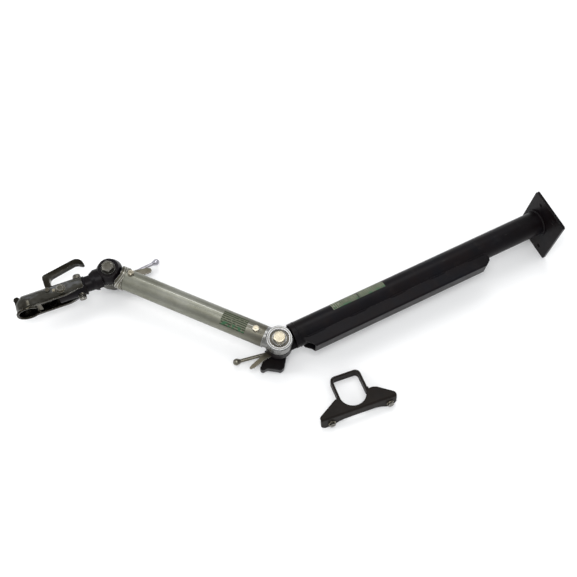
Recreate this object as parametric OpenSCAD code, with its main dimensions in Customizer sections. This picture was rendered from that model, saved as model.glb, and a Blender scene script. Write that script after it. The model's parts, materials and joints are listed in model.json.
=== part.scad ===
// Height-adjustable articulated drawbar with a 50 mm ball coupling and a loose tube saddle.
// It lies on its side: the pivot axes are vertical (Z), the flange is at the right (+X),
// and the side that faces up in use points to +Y. Origin: beam tube axis at the flange's
// mounting face.

/* [Flange plate] */
// Plate size across the beam, in the plane of the folding motion
plate_y = 132; // [126:1:150]
// Plate size along the pivot axes
plate_z = 186; // [180:1:200]
// Plate thickness
plate_t = 8; // [6:1:12]
// Offset of the plate centre from the tube axis, towards the keel side
plate_off = 14; // [8:1:18]
// Corner radius of the plate
plate_r = 6; // [3:1:12]
// Bolt hole diameter
hole_d = 13; // [11:1:15]
// Hole spacing across the beam
hole_y = 62; // [56:1:80]
// Hole spacing along the pivot axes
hole_z = 138; // [130:1:146]

/* [Beam] */
// Outside diameter of the beam tube
beam_d = 70; // [69:0.5:71]
// Wall of the beam tube
beam_wall = 4; // [3:0.5:5]
// Flange face to rear pivot axis
beam_len = 842; // [800:1:900]
// Width of the keel channel
keel_w = 48; // [40:1:52]
// Tube axis to the outer face of the keel
keel_drop = 60; // [56:1:62]
// Sheet thickness of the keel
keel_t = 3; // [2:0.5:4]
// Flange face to the near end of the keel
keel_start = 205; // [180:1:260]

/* [Link] */
// Outside diameter of the link tube
link_d = 60; // [59:0.5:61]
// Wall of the link tube
link_wall = 4; // [3:0.5:5]
// Distance between the two pivot axes
link_len = 510; // [480:1:560]
// Angle of the link against the beam as stored
link_angle = 50; // [45:1:55]

/* [Pivots] */
// Diameter of the toothed clamping discs
disc_d = 73; // [71:1:74]
// Height of each disc above the parting plane
disc_h = 34; // [33:1:35]
// Number of radial teeth on each disc
tooth_n = 36; // [24:2:40]
// Pivot bolt diameter
bolt_d = 20; // [18:1:20]
// Width across flats of the pivot bolt head
bolt_af = 30; // [28:1:32]
// Lowest point of the pivot bolts below the parting plane
bolt_low = 92; // [88:1:92]

/* [Coupling] */
// Angle of the coupling against the beam as stored
head_angle = 5; // [3:1:7]
// Ball diameter the coupling is made for
ball_d = 50; // [50:0.1:50.2]
// Diameter of the shank tube inside the coupling
shank_d = 49.8; // [49:0.1:50]
// Distance from front pivot axis to ball centre
ball_u = 238; // [237:1:239]

/* [Clamp levers] */
// Stored angle of the rear clamp lever
lever_rear_a = 169.5; // [150:0.5:175]
// Stored angle of the front clamp lever
lever_front_a = 3; // [-10:1:20]
// Reach of the rear lever from its bolt axis
lever_rear_len = 127; // [110:1:135]
// Reach of the front lever from its bolt axis
lever_front_len = 139; // [120:1:145]

/* [Saddle] */
// Inside width of the strap
saddle_in = 74; // [72:0.5:78]
// Overall width of the saddle plate
saddle_w = 218; // [212:1:224]
// Sheet thickness of the saddle plate
saddle_t = 6; // [5:0.5:7]
// Strap thickness
strap_t = 6.5; // [5:0.5:7.5]
// Strap width
strap_w = 23; // [20:0.5:23]

/* [Hidden] */
$fn = 64;
eps = 0.01;
black = [0.07, 0.07, 0.08];
zinc = [0.72, 0.73, 0.74];
br = beam_d/2;
lr = link_d/2;
dr = disc_d/2;
p2 = [-beam_len, 0, 0];
p1 = [-beam_len - link_len*cos(link_angle), link_len*sin(link_angle), 0];
keel_end = beam_len - 57;
brad = bolt_d/2;
bore = brad + 0.1;
tooth_h = 2.2;
tooth_gap = 0.3;
sv = -12;                       // shank tube axis below the front pivot axis
shell_r = shank_d/2 + 3.1;      // outer radius of the coupling's tube part
rim_v = -36;                    // level of the coupling's open rim
shelf_v = -33;                  // lower level of the shell's inside fittings
nose_v = -39;                   // level of the ball cup's thick front rim
cup_r = ball_d/2 + 0.4;
cup_v = -16;                    // level of the ball centre
hp = [172, -2];                 // handle pin: distance from the front pivot, level

// Places geometry in the link's frame: X runs from the rear pivot to the front pivot
module in_link() { translate(p2) rotate([0, 0, 180 - link_angle]) children(); }
// Places geometry in the coupling's frame: -X is forward, Y is up in use
module in_head() { translate(p1) rotate([0, 0, -head_angle]) children(); }
// Bar along X between two stations
module rod_x(x0, x1, r) { translate([x0, 0, 0]) rotate([0, 90, 0]) cylinder(h = x1 - x0, r = r); }
module hexagon(af, h) { cylinder(h = h, r = af/2/cos(30), $fn = 6); }
module ring_z(z0, z1, ro, ri) {
  translate([0, 0, z0]) difference() {
    cylinder(h = z1 - z0, r = ro);
    translate([0, 0, -1]) cylinder(h = z1 - z0 + 2, r = ri);
  }
}
module rounded(w, h, r) {
  square([w - 2*r, h], center = true);
  square([w, h - 2*r], center = true);
  for (sx = [-1, 1], sy = [-1, 1]) translate([sx*(w/2 - r), sy*(h/2 - r)]) circle(r = r);
}
// One ring of radial teeth, standing up from z = 0
module tooth_ring(h) {
  pitch = 360/tooth_n;
  for (i = [0 : tooth_n - 1]) rotate([0, 0, i*pitch])
    linear_extrude(h) polygon([
      [(dr - 1.2)*cos(pitch*0.22), (dr - 1.2)*sin(pitch*0.22)],
      [(dr - 14)*cos(pitch*0.22), (dr - 14)*sin(pitch*0.22)],
      [(dr - 14)*cos(pitch*0.22), -(dr - 14)*sin(pitch*0.22)],
      [(dr - 1.2)*cos(pitch*0.22), -(dr - 1.2)*sin(pitch*0.22)]]);
}
// Toothed disc above the parting plane with a recess for the washer
module disc_up(recess) {
  difference() {
    union() {
      translate([0, 0, tooth_h + tooth_gap]) cylinder(h = disc_h - 3 - tooth_h - tooth_gap, r = dr);
      translate([0, 0, disc_h - 3]) cylinder(h = 3, r1 = dr, r2 = dr - 3);
      translate([0, 0, tooth_gap]) tooth_ring(tooth_h + 0.5);
      translate([0, 0, tooth_gap + 0.8]) cylinder(h = 2, r = dr - 15);
    }
    translate([0, 0, -1]) cylinder(h = disc_h + 2, r = bore);
    if (recess) translate([0, 0, disc_h - 4.5]) cylinder(h = 6, r = 27);
  }
}

// ---------------------------------------------------------------- beam
module flange_plate() {
  color(black) difference() {
    translate([-plate_t, -plate_off, 0]) rotate([90, 0, 90]) linear_extrude(plate_t) rounded(plate_y, plate_z, plate_r);
    for (sy = [-1, 1], sz = [-1, 1])
      translate([-plate_t - 1, -plate_off + sy*hole_y/2, sz*hole_z/2]) rotate([0, 90, 0]) cylinder(h = plate_t + 2, r = hole_d/2);
  }
}
module beam_tube() {
  color(black) difference() {
    rod_x(-beam_len + 52, -plate_t, br);
    rod_x(-beam_len + 50, -plate_t + 1, br - beam_wall);
  }
}
module keel_channel() {
  top = 20;
  color(black) difference() {
    intersection() {
      // folded channel section, open towards the tube
      translate([-keel_end, 0, 0]) rotate([90, 0, 90]) linear_extrude(keel_end - keel_start) difference() {
        union() {
          translate([-keel_drop + 5, -keel_w/2]) square([keel_drop - 5 - top, keel_w]);
          translate([-keel_drop, -keel_w/2 + 5]) square([20, keel_w - 10]);
          for (s = [-1, 1]) translate([-keel_drop + 5, s*(keel_w/2 - 5)]) circle(r = 5);
        }
        translate([-keel_drop + keel_t, -keel_w/2 + 5]) square([keel_drop, keel_w - 10]);
        translate([-keel_drop + 5, -keel_w/2 + keel_t]) square([keel_drop, keel_w - 2*keel_t]);
        for (s = [-1, 1]) translate([-keel_drop + 5, s*(keel_w/2 - 5)]) circle(r = 5 - keel_t);
      }
      // sloped ends
      translate([0, 0, -keel_w]) linear_extrude(2*keel_w) polygon([
        [-keel_end, -top + 1], [-keel_end + 4, -keel_drop + 24], [-keel_end + 19, -keel_drop + 10], [-keel_end + 25, -keel_drop - 1],
        [-keel_start - 20, -keel_drop - 1], [-keel_start - 4, -keel_drop + 10], [-keel_start, -keel_drop + 20], [-keel_start, -top + 1]]);
    }
    rod_x(-keel_end - 2, -keel_start + 2, br + 0.05);
  }
}
module beam_head() {
  color(black) translate(p2) difference() {
    union() {
      mirror([0, 0, 1]) disc_up(false);
      // half-round neck below the parting plane
      intersection() {
        rod_x(0, 46, disc_h - 0.5);
        translate([0, -60, -60]) cube([60, 120, 60 - tooth_h - tooth_gap]);
      }
      rod_x(39, 51.9, br);
      rod_x(51, 100, br - beam_wall - 0.1);
    }
    translate([0, 0, -60]) cylinder(h = 80, r = bore);
    rod_x(60, 101, br - beam_wall - 8);
  }
}
// Thin sticker lying on a tube along X
module tube_patch(x0, x1, r, a0, a1, t) {
  difference() {
    intersection() {
      rod_x(x0, x1, r + 0.05 + t);
      translate([x0 - 1, 0, 0]) rotate([90, 0, 90]) linear_extrude(x1 - x0 + 2) polygon([
        [0, 0], [2*r*cos(a0), 2*r*sin(a0)], [2.3*r*cos((a0 + a1)/2), 2.3*r*sin((a0 + a1)/2)], [2*r*cos(a1), 2*r*sin(a1)]]);
    }
    rod_x(x0 - 2, x1 + 2, r + 0.05);
  }
}
module beam_labels() {
  color([0.75, 0.78, 0.72]) {
    tube_patch(-674, -597, br, 25, 79, 0.3);
    tube_patch(-592, -514, br, 25, 79, 0.3);
  }
}
module pivot_bolt() {
  translate([0, 0, disc_h - 0.6]) hexagon(bolt_af, 12.6);
  translate([0, 0, -bolt_low]) cylinder(h = bolt_low + disc_h, r = brad);
}
module head_washer() { ring_z(disc_h - 4.4, disc_h - 0.95, 19.5, brad + 0.35); }
// Serrated blade lying under the lower disc
module lock_blade(a, len, w) {
  rotate([0, 0, a]) difference() {
    union() {
      translate([0, 0, -disc_h - 4.2]) cylinder(h = 4, r = 23);
      translate([0, 0, -disc_h - 4.2]) linear_extrude(4) polygon(concat(
        [[10, -13], [len - 12, -9*w], [len - 3, -6*w], [len, 0], [len - 3, 6*w]],
        [for (i = [0 : 10]) for (k = [0, 1]) [len - 10 - i*4.6 - k*2.3, 8*w + k*2.4]],
        [[20, 13], [10, 14]]));
    }
    translate([0, 0, -60]) cylinder(h = 80, r = brad + 0.1);
  }
}
module thrust_washer() { ring_z(-disc_h - 7.6, -disc_h - 4.4, 20, brad + 0.1); }
// Slim lever nut: threaded hub with a socket for the lever
module slim_nut() {
  difference() {
    union() {
      translate([0, 0, -disc_h - 8.2]) mirror([0, 0, 1]) cylinder(h = 6, r1 = 16, r2 = 19);
      translate([0, 0, -76]) cylinder(h = 76 - disc_h - 14, r = 19);
      translate([0, 0, -80]) cylinder(h = 4.5, r1 = 15, r2 = 19);
      translate([10, 0, -66]) rotate([0, 90, 0]) cylinder(h = 26, r1 = 10, r2 = 8.5);
    }
    translate([0, 0, -100]) cylinder(h = 120, r = brad + 0.1);
    translate([24, 0, -66]) rotate([0, 90, 0]) cylinder(h = 20, r = 5.05);
  }
}
// Cast lever nut: threaded hub, tail lug and side lobe, centred on the bolt
module lever_nut() {
  difference() {
    union() {
      translate([0, 0, -disc_h - 20]) cylinder(h = 12, r1 = 20, r2 = 17);
      translate([0, 0, -82]) cylinder(h = 82 - disc_h - 19.5, r = 24);
      translate([0, 0, -86]) cylinder(h = 4.5, r = 16);
      // lobes that carry the lever socket
      translate([0, 0, -80]) linear_extrude(24) {
        polygon([[0, -22], [30, -10], [58, 30], [62, 40], [56, 46], [44, 44], [18, 56], [8, 58], [0, 54], [-20, 14]]);
        translate([11, 50]) circle(r = 9);
        translate([56, 39]) circle(r = 7.5);
      }
      translate([18, 0, -66]) rotate([0, 90, 0]) cylinder(h = 20, r1 = 13, r2 = 9.5);
    }
    translate([0, 0, -100]) cylinder(h = 120, r = brad + 0.1);
    translate([24, 0, -66]) rotate([0, 90, 0]) cylinder(h = 20, r = 5.05);
  }
}
module lever_bar(len) {
  translate([24.2, 0, -66]) rotate([0, 90, 0]) {
    cylinder(h = len - 34, r = 5);
    translate([0, 0, len - 43]) cylinder(h = 10, r1 = 5, r2 = 9.4);
    translate([0, 0, len - 33.5]) cylinder(h = 3, r = 9.4);
    translate([0, 0, len - 30.5]) sphere(r = 9.4);
  }
}
module rear_pivot_bolt() { color(zinc) translate(p2) pivot_bolt(); }
module rear_lock_blade() { color(zinc) translate(p2) lock_blade(192, 101, 0.6); }
module rear_thrust_washer() { color(zinc) translate(p2) thrust_washer(); }
module rear_lever_nut() { color(black) translate(p2) rotate([0, 0, lever_rear_a]) lever_nut(); }
module rear_lever_bar() { color(zinc) translate(p2) rotate([0, 0, lever_rear_a]) lever_bar(lever_rear_len); }
module front_pivot_bolt() { color(zinc) translate(p1) pivot_bolt(); }
module front_lock_blade() { color(zinc) translate(p1) lock_blade(-13, 112, 1); }
module front_thrust_washer() { color(zinc) translate(p1) thrust_washer(); }
module front_lever_nut() { color(black) translate(p1) rotate([0, 0, lever_front_a]) slim_nut(); }
module front_lever_bar() { color(zinc) translate(p1) rotate([0, 0, lever_front_a]) lever_bar(lever_front_len); }

// ---------------------------------------------------------------- link
x_pin_rear = 68;
x_pin_front = link_len - 63;
front_pin_a = 20;               // the front screw sits this far round the tube
module pin_place(k) { translate([k == 0 ? x_pin_rear : x_pin_front, 0, 0]) rotate([k*front_pin_a, 0, 0]) children(); }
module link_tube() {
  color(zinc) in_link() difference() {
    rod_x(42, link_len - 42, lr);
    rod_x(40, link_len - 40, lr - link_wall);
    for (k = [0, 1]) pin_place(k) cylinder(h = 60, r = 5.1);
  }
}
// End casting with its disc above the parting plane, tube plug towards +X
module rear_casting() {
  difference() {
    union() {
      disc_up(true);
      intersection() {
        rod_x(0, 41, lr);
        translate([0, -60, tooth_h + tooth_gap]) cube([60, 120, 60]);
      }
      rod_x(38.5, 41.9, lr);
      rod_x(41, 96, lr - link_wall - 0.1);
    }
    translate([0, 0, -60]) cylinder(h = 120, r = bore + 0.25);
    translate([0, 0, disc_h - 4.5]) cylinder(h = 6, r = 27);
    rod_x(80, 97, lr - link_wall - 7);
    translate([x_pin_rear, 0, -15]) cylinder(h = 60, r = 5.1);
  }
}
module link_rear_head() { color(zinc) in_link() rear_casting(); }
module link_front_head() {
  color(zinc) in_link() translate([link_len, 0, 0]) rotate([0, 0, 180]) mirror([0, 0, 1]) front_casting();
}
module front_casting() {
  difference() {
    union() {
      disc_up(false);
      intersection() {
        rod_x(0, 41, lr);
        translate([0, -60, tooth_h + tooth_gap]) cube([60, 120, 60]);
      }
      // collar over the tube end, hollowed to clear the discs
      difference() {
        rod_x(31, 50, lr + 2.6);
        rod_x(41.9, 51, lr + 0.05);
        translate([0, 0, -60]) cylinder(h = 120, r = dr + 1.5);
      }
      rod_x(38.5, 41.9, lr - 0.5);
      rod_x(41, 96, lr - link_wall - 0.1);
    }
    translate([0, 0, -60]) cylinder(h = 120, r = bore);
    rod_x(80, 97, lr - link_wall - 7);
    translate([63, 0, 0]) rotate([front_pin_a, 0, 0]) translate([0, 0, -60]) cylinder(h = 75, r = 5.1);
  }
}
module link_cross_bolts() {
  color(zinc) in_link() for (k = [0, 1]) pin_place(k) {
    translate([0, 0, lr + 1.7]) hexagon(16, 6.4);
    translate([0, 0, -14]) cylinder(h = lr + 16, r = 5);
  }
}
// Saddle washers that bed on the round tube
module link_cross_washers() {
  color(zinc) in_link() for (k = [0, 1]) pin_place(k) difference() {
    translate([0, 0, lr - 3]) cylinder(h = 4.6, r = 9.5);
    translate([0, 0, 0]) cylinder(h = 60, r = 5.1);
    translate([-20, 0, 0]) rotate([0, 90, 0]) cylinder(h = 40, r = lr + 0.05);
  }
}
module link_label() { color([0.6, 0.66, 0.58]) in_link() tube_patch(94, 166, lr, 42, 122, 0.3); }
module rear_head_washer() { color(zinc) translate(p2) head_washer(); }
module front_head_washer() { color(zinc) translate(p1) head_washer(); }

// ---------------------------------------------------------------- coupling
module shank() {
  color(black) in_head() difference() {
    union() {
      // domed boss
      difference() {
        union() {
          translate([0, 0, tooth_h + tooth_gap]) cylinder(h = 12, r = dr);
          translate([0, 0, tooth_h + tooth_gap + 12]) cylinder(h = disc_h - 1.5 - 12 - tooth_h - tooth_gap, r1 = dr, r2 = 28.5);
          translate([0, 0, tooth_gap]) tooth_ring(tooth_h + 0.5);
          translate([0, 0, tooth_gap + 0.8]) cylinder(h = 2, r = dr - 15);
        }
        translate([0, 0, disc_h - 4.5]) cylinder(h = 6, r = 23);
      }
      // neck above the parting plane, then the full round shank
      intersection() {
        translate([0, sv + 2, 0]) rod_x(-60, -8, 22);
        translate([-61, -60, tooth_h + tooth_gap]) cube([61, 120, 60]);
      }
      translate([0, sv + 2, 0]) rod_x(-80, -39.5, 22);
      // shoulder between the boss and the neck
      difference() {
        translate([0, -7, 0]) union() {
          rod_x(-43, -26, 29.5);
          translate([-57, 0, 0]) rotate([0, 90, 0]) cylinder(h = 14.01, r1 = 22, r2 = 29.5);
        }
        translate([-39.5, -80, -80]) cube([80, 160, 80 + tooth_h + tooth_gap]);
      }
      translate([0, sv, 0]) rod_x(-150, -74, shank_d/2);
    }
    translate([0, 0, -60]) cylinder(h = 120, r = bore + 0.25);
    translate([0, 0, disc_h - 4.5]) cylinder(h = 10, r = 23);
    // hollow inside of the shank tube
    translate([0, sv, 0]) rod_x(-151, -100, shank_d/2 - 5);
    translate([-90, 0, 0]) rotate([90, 0, 0]) translate([0, 0, -60]) cylinder(h = 120, r = 6.1);
    translate([-138, sv, -60]) cylinder(h = 120, r = 6.1);
  }
}
// Pressed steel coupling shell
module coupling_shell() {
  color(zinc) in_head() difference() {
    union() {
      // tube part: arch section with straight sides and turned-out edges
      difference() {
        translate([-246, 0, 0]) rotate([90, 0, 90]) linear_extrude(246 - 79) {
          translate([sv, 0]) circle(r = shell_r);
          translate([rim_v, -shell_r]) square([sv - rim_v, 2*shell_r]);
          translate([rim_v, -shell_r - 5]) square([3.2, 2*shell_r + 10]);
          polygon([[rim_v + 3.1, -shell_r - 5], [rim_v + 3.1, shell_r + 5], [rim_v + 8, shell_r - 0.5], [rim_v + 8, -shell_r + 0.5]]);
        }
        translate([-220.5, 0, 0]) rotate([90, 0, 90]) linear_extrude(220.5 - 78) {
          translate([sv, 0]) circle(r = shank_d/2 + 0.1);
          translate([-53, -shank_d/2 - 0.1]) square([sv + 53, shank_d + 0.2]);
        }
      }
      // ball cup with its collar and turned-out rim
      translate([-ball_u, cup_v, 0]) sphere(r = cup_r + 4.6);
      translate([-ball_u, nose_v, 0]) rotate([-90, 0, 0]) {
        cylinder(h = cup_v - nose_v, r = cup_r + 4.6);
        cylinder(h = 3, r1 = cup_r + 6.6, r2 = cup_r + 7.9);
        translate([0, 0, 3]) cylinder(h = 2.6, r = cup_r + 7.9);
        translate([0, 0, 5.6]) cylinder(h = 3.4, r1 = cup_r + 7.9, r2 = cup_r + 4.6);
      }
      // nose web with its rolled lip
      translate([-265.5, -33, -13]) cube([26, 37, 26]);
      translate([-258.5, 6.5, -12.5]) cylinder(h = 25, r = 8.5);
    }
    // the roof slopes down to the nose
    translate([0, 0, -60]) linear_extrude(120) polygon([[-214, 16.4], [-214, 60], [-251, 60], [-251, 9.5]]);
    // the side walls get shallower towards the rear
    translate([0, 0, -60]) linear_extrude(120) polygon([[-78, -27.5], [-104, -31.5], [-132, rim_v - 0.5], [-132, -60], [-78, -60]]);
    // ball cup
    translate([-ball_u, cup_v, 0]) sphere(r = cup_r);
    translate([-ball_u, -60, 0]) rotate([-90, 0, 0]) cylinder(h = cup_v + 60, r = cup_r);
    translate([-ball_u, nose_v - 0.5, 0]) rotate([-90, 0, 0]) cylinder(h = 3, r1 = cup_r + 3, r2 = cup_r);
    // passage for the jaw
    translate([-ball_u + 10, -53, -17.5]) cube([ball_u - 10 - 200, 46, 35]);
    // slot for the handle
    translate([-200, -4, -11.5]) cube([46, 60, 23]);
    // bolt holes
    translate([-90, 60, 0]) rotate([90, 0, 0]) cylinder(h = 60, r = 6.1);
    translate([-138, sv, -60]) cylinder(h = 120, r = 6.1);
    translate([-hp[0], hp[1], -60]) cylinder(h = 120, r = 5.05);
    translate([-156, -9, -60]) cylinder(h = 120, r = 3.05);
    // seats for the heads of the pin and rivets, and room for the spring
    for (s = [0, 1]) mirror([0, 0, s]) {
      translate([-hp[0], hp[1], shell_r - 1.25]) cylinder(h = 20, r = 7.1);
      translate([-156, -9, shell_r - 0.62]) cylinder(h = 20, r = 5.5);
    }
    translate([-hp[0], hp[1], 10.5]) cylinder(h = 10.8, r = 7.9);
  }
}
module coupling_upright_bolt() {
  color(zinc) in_head() translate([-90, 0, 0]) rotate([90, 0, 0]) {
    translate([0, 0, -26]) hexagon(19, 7.5);
    translate([0, 0, -19]) cylinder(h = 19 - sv + shank_d/2 + 13.5, r = 6);
  }
}
module coupling_cross_bolt() {
  color(zinc) in_head() translate([-138, sv, 0]) {
    translate([0, 0, shell_r + 2.7]) hexagon(19, 7.5);
    translate([0, 0, -shell_r - 14]) cylinder(h = 2*shell_r + 17, r = 6);
  }
}
module nut12() { difference() { hexagon(19, 10); translate([0, 0, -1]) cylinder(h = 12, r = 6.02); } }
module coupling_nuts() {
  color(zinc) in_head() {
    translate([-90, sv - shank_d/2 - 2.4, 0]) rotate([90, 0, 0]) nut12();
    translate([-138, sv, -shell_r - 12.6]) nut12();
  }
}
module coupling_washers() {
  color(zinc) in_head() {
    // under the cross bolt's head and nut
    translate([-138, sv, 0]) { ring_z(shell_r + 0.05, shell_r + 2.6, 13, 6.1); ring_z(-shell_r - 2.55, -shell_r - 0.05, 12, 6.1); }
    // bedded on the round shell and on the shank, on the upright bolt
    translate([-90, 0, 0]) rotate([90, 0, 0]) {
      difference() {
        translate([0, 0, -18.4]) cylinder(h = 6.4, r = 12);
        translate([0, 0, -60]) cylinder(h = 120, r = 6.1);
        rotate([-90, 0, 0]) translate([0, sv, 0]) rod_x(-40, 40, shell_r + 0.05);
      }
      difference() {
        translate([0, 0, -sv + shank_d/2 - 3]) cylinder(h = 5.3, r = 11);
        translate([0, 0, -60]) cylinder(h = 120, r = 6.1);
        rotate([-90, 0, 0]) translate([0, sv, 0]) rod_x(-40, 40, shank_d/2 + 0.05);
      }
    }
  }
}
module handle_pin() {
  color(zinc) in_head() translate([-hp[0], hp[1], 0]) {
    translate([0, 0, -shell_r - 2.8]) cylinder(h = 2*shell_r + 5.6, r = 5);
    for (s = [0, 1]) mirror([0, 0, s]) translate([0, 0, shell_r - 1.2]) cylinder(h = 4, r1 = 7, r2 = 5.5);
  }
}
// Torsion spring beside the handle, wound round its pin
spring_r = 6.7;
spring_wire = 1;
spring_turns = 3;
module handle_spring() {
  n = 24*spring_turns;
  m = 8;
  pts = [for (i = [0 : n]) let(a = i*15, z = 12.2 + i*(2.6/24)) for (k = [0 : m - 1])
    let(b = k*360/m) [(spring_r + spring_wire*cos(b))*cos(a), (spring_r + spring_wire*cos(b))*sin(a), z + spring_wire*sin(b)]];
  faces = concat(
    [[for (k = [0 : m - 1]) k]],
    [for (i = [0 : n - 1]) for (k = [0 : m - 1]) [i*m + k, (i + 1)*m + k, (i + 1)*m + (k + 1)%m]],
    [for (i = [0 : n - 1]) for (k = [0 : m - 1]) [i*m + k, (i + 1)*m + (k + 1)%m, i*m + (k + 1)%m]],
    [[for (k = [0 : m - 1]) n*m + m - 1 - k]]);
  color(zinc) in_head() translate([-hp[0], hp[1], 0]) polyhedron(points = pts, faces = faces, convexity = 10);
}
module shell_rivets() {
  color(zinc) in_head() for (s = [0, 1]) mirror([0, 0, s]) translate([-156, -9, 0]) {
    translate([0, 0, 20]) cylinder(h = shell_r - 20 + 1, r = 3);
    translate([0, 0, shell_r - 0.6]) cylinder(h = 2.6, r1 = 5.4, r2 = 3.6);
  }
}
// Release handle: eye, cam, neck and grip
module release_handle() {
  color(zinc) in_head() difference() {
    union() {
      translate([0, 0, -10]) linear_extrude(20) {
        polygon([[-177, 0], [-178, 20], [-178.5, 44], [-177, 51], [-172, 54.5], [-87, 71], [-78, 71.5], [-69, 68],
          [-62, 60], [-59, 49], [-64, 47.5], [-70, 50.5], [-76, 54.5], [-84, 56.5], [-152, 41.5], [-158.5, 37.5], [-161, 30],
          [-160, 18], [-162, 0]]);
        translate([-hp[0], hp[1]]) circle(r = 9.5);
      }
      translate([0, 0, -9]) linear_extrude(18) polygon([[-164, -4], [-180, -4], [-185, -16], [-182, -21], [-174, -22], [-166, -16]]);
    }
    translate([-hp[0], hp[1], -20]) cylinder(h = 40, r = 5.08);
  }
}
module ball_jaw() {
  color(zinc) in_head() difference() {
    union() {
      translate([-220, shelf_v + 1.5, -16.6]) cube([20, 23, 33.2]);
      // stub that the handle's cam holds forward
      translate([-201, -21, -7]) cube([14.4, 8, 14]);
    }
    translate([-ball_u, -60, 0]) rotate([-90, 0, 0]) cylinder(h = 80, r = cup_r + 0.5);
  }
}

// ---------------------------------------------------------------- saddle
saddle_at = [-725.2, -246.1, -43.6];
module in_saddle() { translate(saddle_at) rotate([0, 0, -7]) rotate([-12.7, 0, 0]) children(); }
d_x = 0;
d_bottom = 11;
d_r = saddle_in/2;
function bolt_at(s) = s < 0 ? -79 : 90;
lip_bolt_z = -32;
module saddle_plate() {
  color(black) in_saddle() {
    // flat plate with the round end of the opening
    difference() {
      translate([0, 0, -saddle_t]) linear_extrude(saddle_t) difference() {
        polygon([[-saddle_w/2, 3], [-saddle_w/2, 10], [-saddle_w/2 + 4, 14], [d_x - d_r - strap_t - 8, 47], [d_x + d_r + strap_t + 14, 47],
          [d_x + d_r + strap_t + 24, 44], [saddle_w/2 - 3, 14], [saddle_w/2, 9], [saddle_w/2, 3]]);
        translate([d_x, d_bottom + d_r]) circle(r = d_r);
        translate([d_x - d_r, d_bottom + d_r]) square([2*d_r, 60]);
      }
      for (s = [-1, 1]) translate([d_x + s*(d_r + strap_t/2 + 0.02) - strap_t/2 - 0.05, d_bottom + d_r - 6, -saddle_t - 1]) cube([strap_t + 0.14, 60, saddle_t + 2]);
    }
    // bend and lip
    translate([-saddle_w/2, 3, 0]) rotate([0, 90, 0]) difference() {
      intersection() {
        translate([saddle_t + 2, 6 - 1, 0]) cylinder(h = saddle_w, r = saddle_t + 2);
        translate([0, -3, 0]) cube([saddle_t + 2, 8, saddle_w]);
      }
      translate([saddle_t + 2, 6 - 1, -1]) cylinder(h = saddle_w + 2, r = 2);
    }
    difference() {
      translate([0, saddle_t, 0]) rotate([90, 0, 0]) linear_extrude(saddle_t) {
        polygon([[-saddle_w/2, -saddle_t - 2], [-saddle_w/2, -36], [-saddle_w/2 + 4, -44], [-saddle_w/2 + 12, -49], [-saddle_w/2 + 33, -49],
          [-saddle_w/2 + 41, -44], [-saddle_w/2 + 51, -38], [-saddle_w/2 + 67, -34], [saddle_w/2 - 62, -34], [saddle_w/2 - 46, -38],
          [saddle_w/2 - 36, -44], [saddle_w/2 - 28, -49], [saddle_w/2 - 12, -49], [saddle_w/2 - 4, -44], [saddle_w/2, -36], [saddle_w/2, -saddle_t - 2]]);
      }
      for (s = [-1, 1]) translate([bolt_at(s), 20, lip_bolt_z]) rotate([90, 0, 0]) cylinder(h = 40, r = 5.3);
    }
  }
}
module saddle_strap() {
  h = 72;
  color(black) in_saddle() translate([d_x, d_bottom + d_r - 6, -strap_w]) linear_extrude(strap_w) difference() {
    union() {
      translate([-d_r - strap_t, 0]) square([2*d_r + 2*strap_t, h - 24]);
      translate([0, h - 30]) rounded_top(2*d_r + 2*strap_t, 30, 15);
    }
    translate([-d_r, -1]) square([2*d_r, h - 24]);
    translate([0, h - 30]) rounded_top(2*d_r, 30 - strap_t, 10);
  }
}
module rounded_top(w, h, r) {
  translate([-w/2, 0]) square([w, h - r]);
  translate([-w/2 + r, 0]) square([w - 2*r, h]);
  for (s = [-1, 1]) translate([s*(w/2 - r), h - r]) circle(r = r);
}
module saddle_bolts() {
  color(zinc) in_saddle() for (s = [-1, 1]) translate([bolt_at(s), 0, lip_bolt_z]) rotate([90, 0, 0]) {
    translate([0, 0, 2.1]) hexagon(16, 6.4);
    translate([0, 0, -20]) cylinder(h = 22.5, r = 5);
  }
}
module saddle_nuts() {
  color(zinc) in_saddle() for (s = [-1, 1]) translate([bolt_at(s), saddle_t + 0.1, lip_bolt_z]) rotate([-90, 0, 0]) difference() {
    hexagon(16, 8);
    translate([0, 0, -1]) cylinder(h = 10, r = 5.02);
  }
}
module saddle_washers() {
  color(zinc) in_saddle() for (s = [-1, 1]) translate([bolt_at(s), -0.05, lip_bolt_z]) rotate([90, 0, 0]) ring_z(0, 2, 10, 5.2);
}

flange_plate();
beam_tube();
keel_channel();
beam_head();
beam_labels();
rear_pivot_bolt();
rear_lock_blade();
rear_thrust_washer();
rear_lever_nut();
rear_lever_bar();
link_tube();
link_rear_head();
link_front_head();
link_cross_bolts();
link_cross_washers();
link_label();
rear_head_washer();
front_pivot_bolt();
front_lock_blade();
front_thrust_washer();
front_lever_nut();
front_lever_bar();
shank();
front_head_washer();
coupling_shell();
coupling_upright_bolt();
coupling_cross_bolt();
coupling_nuts();
coupling_washers();
handle_pin();
handle_spring();
shell_rivets();
release_handle();
ball_jaw();
saddle_plate();
saddle_strap();
saddle_bolts();
saddle_nuts();
saddle_washers();
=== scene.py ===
import bpy, bmesh, json, math, random
from mathutils import Vector, Matrix

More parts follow.
